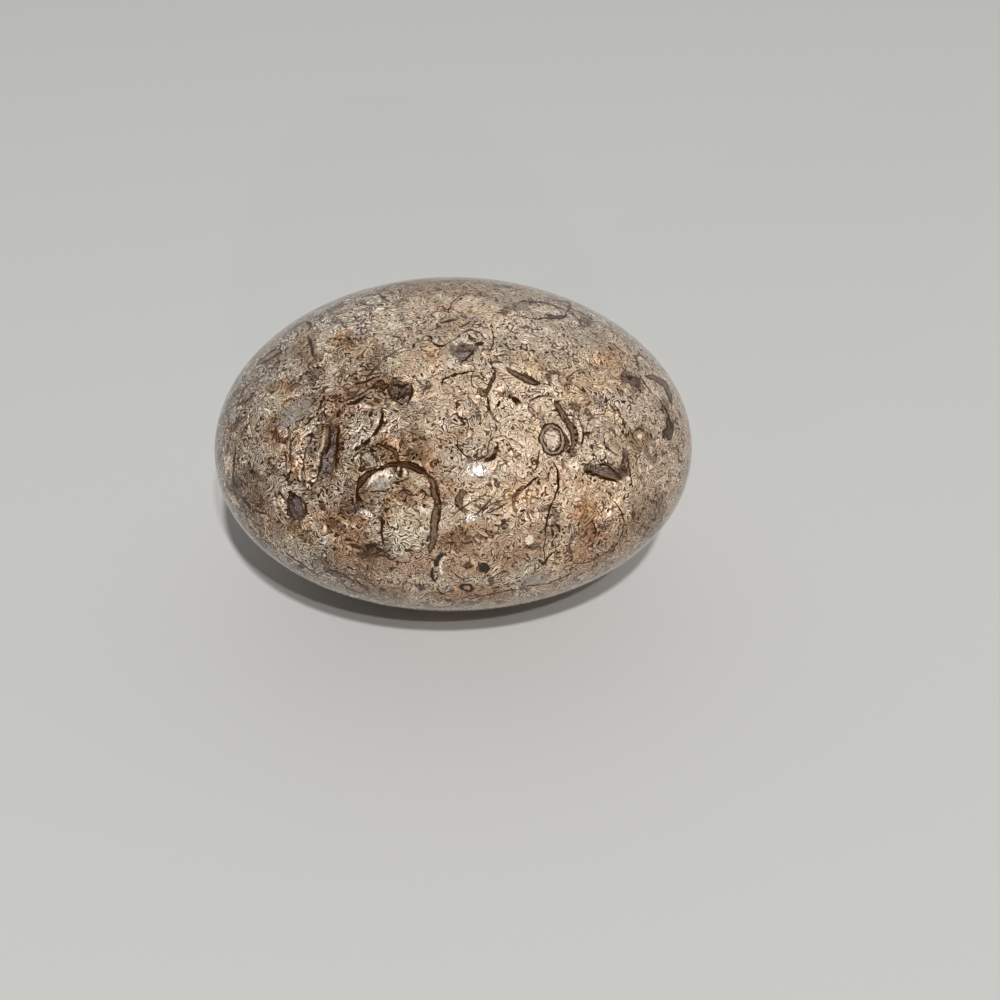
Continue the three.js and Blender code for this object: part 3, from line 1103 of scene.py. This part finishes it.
# %% The wing and a long crack
sheet.slab("plum", (22.6, -4.9), 1.2, 0.7, turn=-20)
sheet.slab("plum", (23.65, -3.2), 1.15, 0.34, turn=76)
sheet.chip("plum", (20.6, -4.8), 2.5, 0.62, turn=-17)
sheet.pit("ink", (18.6, -4.65), 0.6, 0.2, turn=-12)
sheet.line("ink", 0.12, (18.6, -4.4), (20.4, -3.75), (22.2, -4.6))
sheet.line("ink", 0.2, (18.7, -5.0), (20.6, -5.4), (22.9, -6.2))
sheet.line("brown", 0.1, (21.0, -4.1), (22.2, -4.6), (23.0, -5.9))
sheet.line("ink", 0.12, (23.2, -3.9), (23.5, -2.9), (23.75, -2.0))
sheet.line("brown", 0.14, (23.9, -2.3), (24.2, -3.6), (23.6, -5.2))
sheet.line("ink", 0.14, (13.95, -3.5), (14.5, -5.9), (13.7, -8.6), (13.0, -11.0), (12.75, -13.2))
sheet.line("brown", 0.08, (12.9, -13.2), (12.6, -15.0), (12.7, -16.6))
sheet.line("ink", 0.18, (11.8, -16.5), (12.4, -16.9), (12.8, -17.3))
sheet.line("ink", 0.18, (12.8, -17.3), (13.1, -16.4), (13.8, -15.5))
sheet.line("ink", 0.16, (10.0, -7.0), (10.9, -6.0), (12.1, -5.35))
sheet.line("brown", 0.09, (11.85, -1.7), (11.9, -3.4), (10.7, -5.0))
sheet.line("brown", 0.08, (19.1, -1.7), (19.2, -2.9), (18.6, -3.7))
sheet.line("brown", 0.08, (19.6, -2.4), (19.9, -3.2), (20.3, -3.7))
sheet.line("brown", 0.09, (24.4, -3.0), (24.4, -5.0), (25.0, -7.2))
print(sheet.marks, "marks so far")

# %% [markdown]
# Low on the right are a rust-brown leaf of shell and a fine bow round it. Two holes, filled with something
# as black as jet and polished level, lie nearer the middle, one of them beside a chalky sliver.

# %% Lower right
sheet.chip("liver", (18.6, -12.2), 1.9, 0.75, turn=-68)
sheet.line("liver", 0.25, (17.9, -8.2), (18.1, -9.4), (18.3, -10.8))
sheet.line("ink", 0.13, (19.1, -11.2), (19.7, -12.6), (19.5, -13.7))
sheet.line("ink", 0.11, (21.65, -8.35), (23.6, -11.2), (23.0, -14.4), (22.5, -15.2), (21.8, -16.0))
sheet.chip("chalk", (10.8, -13.6), 0.85, 0.48, turn=82)
sheet.chip("jet", (4.65, -17.35), 0.62, 0.55)
sheet.chip("jet", (-1.2, -16.3), 1.0, 0.5, turn=58)
sheet.line("chalk", 0.3, (-0.2, -15.6), (-1.0, -17.0), (-0.9, -18.6))
sheet.pit("ink", (13.6, -11.85), 0.3, 0.2)
sheet.pit("ink", (14.15, -11.6), 0.5, 0.2, turn=-50)
sheet.pit("ink", (14.65, -12.1), 0.4, 0.18, turn=-60)
sheet.pit("ink", (13.8, -12.85), 0.4, 0.18, turn=-60)
sheet.line("brown", 0.13, (-0.4, -14.0), (0.3, -13.9), (1.0, -14.0))
sheet.line("brown", 0.12, (1.6, -13.9), (2.4, -14.0), (3.2, -13.8))
sheet.line("brown", 0.1, (0.3, -14.0), (0.35, -14.7), (0.2, -15.4))
print(sheet.marks, "marks so far")

# %% [markdown]
# The left end is the dusky one. A long grey slab stands upright there, with pinkish seams of mud beside
# it and a dark lump below. The clear grey lens above it was laid with the soft fills; its dark edges follow.

# %% The left end
sheet.slab("slate", (-15.3, -0.1), 1.5, 0.5, turn=82)
sheet.slab("slate", (-16.05, -3.0), 2.0, 0.85, turn=80)
sheet.line("ink", 0.2, (-14.75, 1.6), (-14.7, -0.6), (-15.1, -4.9))
sheet.line("ink", 0.2, (-15.9, 1.5), (-15.9, -1.2), (-16.3, -2.6))
sheet.line("brown", 0.2, (-16.5, -1.4), (-17.0, -3.2), (-17.2, -5.0))
sheet.pit("ink", (-16.2, -1.7), 0.7, 0.16, turn=60)
sheet.line("cream", 0.36, (-16.4, 1.2), (-16.9, -1.3), (-18.3, -5.4))
sheet.line("cream", 0.3, (-17.2, 3.0), (-19.2, 0.6), (-20.9, -2.6))
sheet.line("cream", 0.26, (-19.0, -2.4), (-20.0, -4.4), (-19.7, -6.6))
sheet.line("brown", 0.12, (-17.9, 0.4), (-19.3, -2.4), (-19.1, -5.6))
sheet.line("brown", 0.12, (-20.4, 0.6), (-21.4, -1.4), (-21.1, -3.9))
sheet.chip("dark plum", (-20.6, -9.6), 1.9, 1.15, turn=-70)
sheet.chip("slate", (-20.3, -9.3), 1.3, 0.7, turn=-70)
sheet.line("ink", 0.18, (-19.6, -8.3), (-19.2, -10.0), (-20.1, -11.4))
sheet.line("brown", 0.16, (-21.6, -8.2), (-21.6, -9.6), (-20.7, -11.2))
sheet.line("ink", 0.12, (-16.85, 5.5), (-17.2, 4.3), (-17.8, 3.3))
sheet.line("ink", 0.11, (-18.1, 3.15), (-18.8, 2.0), (-19.7, 1.1))
sheet.line("brown", 0.12, (-20.9, 1.95), (-20.1, 2.2), (-19.3, 2.6))
sheet.line("ink", 0.10, (-22.2, -1.9), (-22.15, -3.3), (-21.9, -4.6))
sheet.line("ink", 0.13, (-21.7, -5.8), (-21.3, -6.1), (-20.9, -6.2))
print(sheet.marks, "marks so far")

# %% [markdown]
# Further out the stone turns away, so only cracks and thin shell edges are left to see. Above them, over
# the shoulder, pale mud shows between a few long fine lines.

# %% The far left and the shoulder
sheet.line("brown", 0.11, (-27.6, 2.2), (-28.7, 0.9), (-29.1, -0.4))
sheet.line("ink", 0.16, (-29.8, -1.6), (-30.1, -3.5), (-30.3, -5.0), (-30.2, -6.0), (-29.6, -7.0))
sheet.line("brown", 0.12, (-29.4, -5.7), (-28.5, -6.1), (-27.9, -6.9))
sheet.line("ink", 0.22, (-28.9, -8.3), (-28.2, -9.2), (-27.3, -9.9))
sheet.line("ink", 0.14, (-26.6, -10.3), (-25.9, -10.4), (-25.0, -10.7))
sheet.line("ink", 0.15, (-23.1, -7.4), (-22.8, -7.8), (-22.3, -8.4))
sheet.line("ink", 0.2, (-21.3, 16.4), (-20.2, 16.2), (-20.1, 14.8))
sheet.chip("infill", (-17.4, 13.2), 1.6, 2.2, turn=-10)
sheet.line("faint", 0.11, (-13.4, 5.0), (-12.0, 6.4), (-10.6, 8.4))
sheet.line("faint", 0.12, (-10.6, 8.4), (-8.4, 10.8), (-5.4, 12.4))
sheet.line("faint", 0.08, (-5.4, 12.4), (-3.8, 12.9), (-2.2, 12.7))
sheet.line("brown", 0.10, (-17.2, 6.4), (-18.0, 5.0), (-19.0, 3.8))
sheet.chip("infill", (-8.6, 16.6), 2.4, 1.3, turn=8)
sheet.line("ink", 0.14, (-10.7, 20.9), (-9.9, 19.7), (-8.7, 18.9))
sheet.line("faint", 0.12, (-10.2, 21.4), (-7.6, 22.2), (-5.2, 21.6))
sheet.line("ink", 0.2, (-20.2, 14.4), (-19.4, 12.6), (-18.9, 10.8))
sheet.pit("ink", (-19.9, 8.6), 0.4, 0.17, turn=10)
sheet.chip("liver", (-24.4, 6.9), 0.8, 0.6, turn=60)
sheet.pit("ink", (-28.7, 3.3), 0.35, 0.2, turn=-40)
sheet.line("thin wall", 0.5, (-27.8, 10.3), (-25.9, 11.5), (-24.0, 12.3))
print(sheet.marks, "marks so far")

# %% [markdown]
# Near the right rim a brown wall follows the outline of the stone, and a few short cracks lie below it.

# %% The right end
sheet.line("wall", 0.4, (27.2, 8.6), (30.0, 7.6), (31.2, 4.6))
sheet.slab("dark plum", (30.5, 1.0), 0.6, 1.2, turn=-15)
sheet.slab("plum", (24.9, 7.9), 1.2, 0.6, turn=-20)
sheet.slab("plum", (19.0, 16.4), 0.8, 0.4, turn=-30)
sheet.line("brown", 0.1, (26.2, 8.8), (27.4, 6.9), (29.4, 5.0))
sheet.pit("ink", (24.85, 8.2), 0.45, 0.3, turn=-20)
sheet.chip("cream", (28.5, 6.3), 1.4, 0.55, turn=-48)
sheet.line("ink", 0.16, (28.9, 5.4), (30.2, 3.6), (30.9, 0.8))
sheet.line("brown", 0.12, (25.0, 0.4), (25.9, 1.1), (26.8, 0.1))
sheet.chip("chalk", (25.9, 0.05), 0.45, 0.4)
sheet.line("brown", 0.13, (26.9, -9.2), (27.9, -8.9), (28.4, -10.4))
sheet.line("ink", 0.16, (28.4, -10.4), (28.0, -11.6), (27.3, -11.0))
sheet.line("brown", 0.08, (23.0, 7.3), (23.1, 6.4), (23.4, 5.5))
sheet.line("brown", 0.13, (21.8, 12.7), (22.2, 12.4), (22.5, 12.0))
print(sheet.marks, "marks so far")

# %% [markdown]
# The lowest part of the front mirrors the floor, so only the strongest marks show there: long cracks that
# run with the rim, and one small ring.

# %% Along the foot
sheet.line("brown", 0.14, (-22.6, -15.9), (-20.3, -17.6), (-17.7, -19.3))
sheet.line("brown", 0.12, (-17.4, -18.6), (-15.0, -18.4), (-12.9, -19.6))
sheet.line("ink", 0.13, (-12.9, -19.2), (-12.0, -20.2), (-11.2, -20.9))
sheet.line("ink", 0.2, (-2.1, -17.2), (-2.3, -18.4), (-1.8, -19.6))
sheet.line("ink", 0.15, (-1.8, -20.2), (-0.9, -21.3), (0.1, -20.6))
sheet.ring("dark plum", (2.3, -20.4), 0.75, 0.55, 0.07)
sheet.line("brown", 0.12, (0.6, -18.0), (1.7, -18.9), (2.9, -18.8))
sheet.line("brown", 0.1, (3.2, -22.0), (6.4, -21.2), (9.8, -20.6))
sheet.line("brown", 0.1, (9.6, -20.4), (13.4, -20.0), (17.0, -18.4))
sheet.line("brown", 0.1, (16.6, -17.2), (19.4, -16.8), (22.0, -15.2))
sheet.pit("ink", (-20.6, -18.0), 0.5, 0.25, turn=-30)
sheet.chip("chalk edged", (21.9, -7.3), 0.55, 0.45)
print(sheet.marks, "marks in all")

# %% [markdown]
# ## The fine grain
# Close up, the mud is full of fine curled lines: the edges of shell dust. They are the contour lines of a
# fine noise again, cut like saw teeth, so that each dark line has a pale one beside it. Long lines and
# short ones take turns, and a finer noise frays them all. They are drawn out a little along the stone, and
# at its foot upwards too.

# %% Curled lines
LONG_GRAIN, LONG_TEETH = 2.3, 11.5     # mm, and lines to a full swing of the noise
SHORT_GRAIN, SHORT_TEETH = 1.0, 7
ALONG, FOOT_SLACK = 0.8, 0.35          # how much the lines are drawn out
FRAYED = 0.4


def saw_lines(place, grain, teeth, seed, detail):
    bent = wobbled(shifted(place, seed, -seed, 2 * seed), 1.4 * grain, 0.9 * grain)
    return calc("FRACT", times(noise(bent, grain, detail), teeth))


slack = calc("MULTIPLY_ADD", foot, -FOOT_SLACK, 1.0)
drawn_out = vector("MULTIPLY", place, joined(ALONG, slack, slack))
long_lines = saw_lines(drawn_out, LONG_GRAIN, LONG_TEETH, 0, 2.0)
short_lines = saw_lines(drawn_out, SHORT_GRAIN, SHORT_TEETH, 50, 1.0)
which = fade(noise(shifted(place, 9, 9, 9), 1.6), 0.45, 0.55)
saw = calc("MULTIPLY_ADD", which, calc("SUBTRACT", short_lines, long_lines), long_lines)
speckle = calc("SUBTRACT", noise(place, 0.28), 0.5)
saw = calc("MULTIPLY_ADD", speckle, FRAYED, saw)
print("curled lines ready")

# %% [markdown]
# How pale and how dark the lines get depends on the place. The dusky end and the foot are busier, a calm
# fossil keeps the lines off itself, and a slow noise lets them come and go. One number holds the result:
# the light that a spot keeps, more than 1 on a pale line and less on a dark one.

# %% Pale and dark lines
PALEST, PALEST_BUSY = 0.47, 0.45       # light that a pale line adds, and what a busy place adds to that
DARKEST, DARKEST_BUSY = 0.84, 0.10     # light that a dark line takes
CALMING = 0.9                          # share of the lines that a calm fossil keeps off
FOOT_BUSY = 0.35
DEEPEST = 0.13                         # the least light that a line leaves

busier = biggest(dusky, foot)
dark = fade(saw, calc("MULTIPLY_ADD", busier, 0.08, 0.375), 0.235)
pale = fade(saw, 0.60, 0.80)
lift = times(pale, calc("MULTIPLY_ADD", busier, PALEST_BUSY, PALEST))
drop = times(dark, calc("MULTIPLY_ADD", busier, DARKEST_BUSY, DARKEST))
lines = calc("SUBTRACT", lift, drop)
busy = calc("SUBTRACT", 1.0, times(biggest(sheet.now["Calm"], bold), CALMING))
busy = times(busy, fade(noise(shifted(place, 60, 2, 7), 4.0, 2.0), 0.36, 0.58, 0.76, 1.08))
busy = times(busy, calc("MULTIPLY_ADD", foot, FOOT_BUSY, 1.0))
light = calc("MAXIMUM", calc("MULTIPLY_ADD", lines, busy, 1.0), DEEPEST)
print("a dark line leaves at least", DEEPEST, "of the light")

# %% [markdown]
# Two faint mottlings, one fine and one wide, make the light uneven. Then it is laid on the colour. Thin
# brown skins take most off the blue and least off the red, so the green and the blue get higher powers of
# the light, and the dark lines come out a deeper, redder brown. The ink of the cracks and rims goes on
# last, so that no line of the grain crosses it.

# %% Mottling, colour and ink
INK = (0.032, 0.010, 0.002, 1)
MOTTLES = ((3, 1.4, 0.07), (5, 6.0, 0.08))     # seed, grain in mm, share of the light
GREEN_POWER, GREEN_SHADE = 1.22, 0.08          # the second power counts only where it is darker
BLUE_POWER, BLUE_SHADE = 1.50, 0.15


def shaded(colour, light):
    """Darker or lighter; the darker it gets, the redder."""
    shade = calc("MINIMUM", light, 1.0)
    green = times(calc("POWER", light, GREEN_POWER), calc("POWER", shade, GREEN_SHADE))
    blue = times(calc("POWER", light, BLUE_POWER), calc("POWER", shade, BLUE_SHADE))
    redder = joined(light, green, blue)
    return mix(1.0, colour, redder, "MULTIPLY")


for seed, grain, spread in MOTTLES:
    mottle = noise(shifted(place, seed, 2, 1), grain, 2.0, 0.6)
    light = times(light, fade(mottle, 0.32, 0.68, 1 - spread, 1 + spread))
rock = shaded(sheet.now["Colour"], light)
inked = times(sheet.now["Ink"], fade(noise(shifted(place, 0, 0, 44), 1.6), 0.32, 0.5, 0.75, 1.0))
rock = mix(inked, rock, INK)
print("the material has", len(tree.nodes), "nodes, not counting those inside its groups")

# %% [markdown]
# ## The polish
# Polished limestone is as smooth as glass between its lines, and a little duller along them, where the mud
# is softer. A lap never leaves it perfectly flat: a relief of a hundredth of a millimetre, too low to see
# as shape, breaks the edge of every bright spot. A bump of that height gives it.

# %% Polish
RELIEF = 0.012 * MM
RELIEF_GRAIN = 0.45      # mm
SMOOTHEST = 0.085        # roughness between the lines
LINES_DULLER = 0.06      # and what a dark line adds
bump = tree.nodes.new("ShaderNodeBump")
plug(bump.inputs["Height"], noise(place, RELIEF_GRAIN))
bump.inputs["Distance"].default_value = RELIEF
plug(shader.inputs["Normal"], bump.outputs["Normal"])
plug(shader.inputs["Base Color"], rock)
plug(shader.inputs["Roughness"], calc("MULTIPLY_ADD", dark, LINES_DULLER, SMOOTHEST))
shader.inputs["IOR"].default_value = 1.45
shader.inputs["Specular IOR Level"].default_value = 0.34
stone.data.materials.clear()
stone.data.materials.append(material)
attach(stone, "root")
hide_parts("shell_stone")
print("polished:", stone.name)
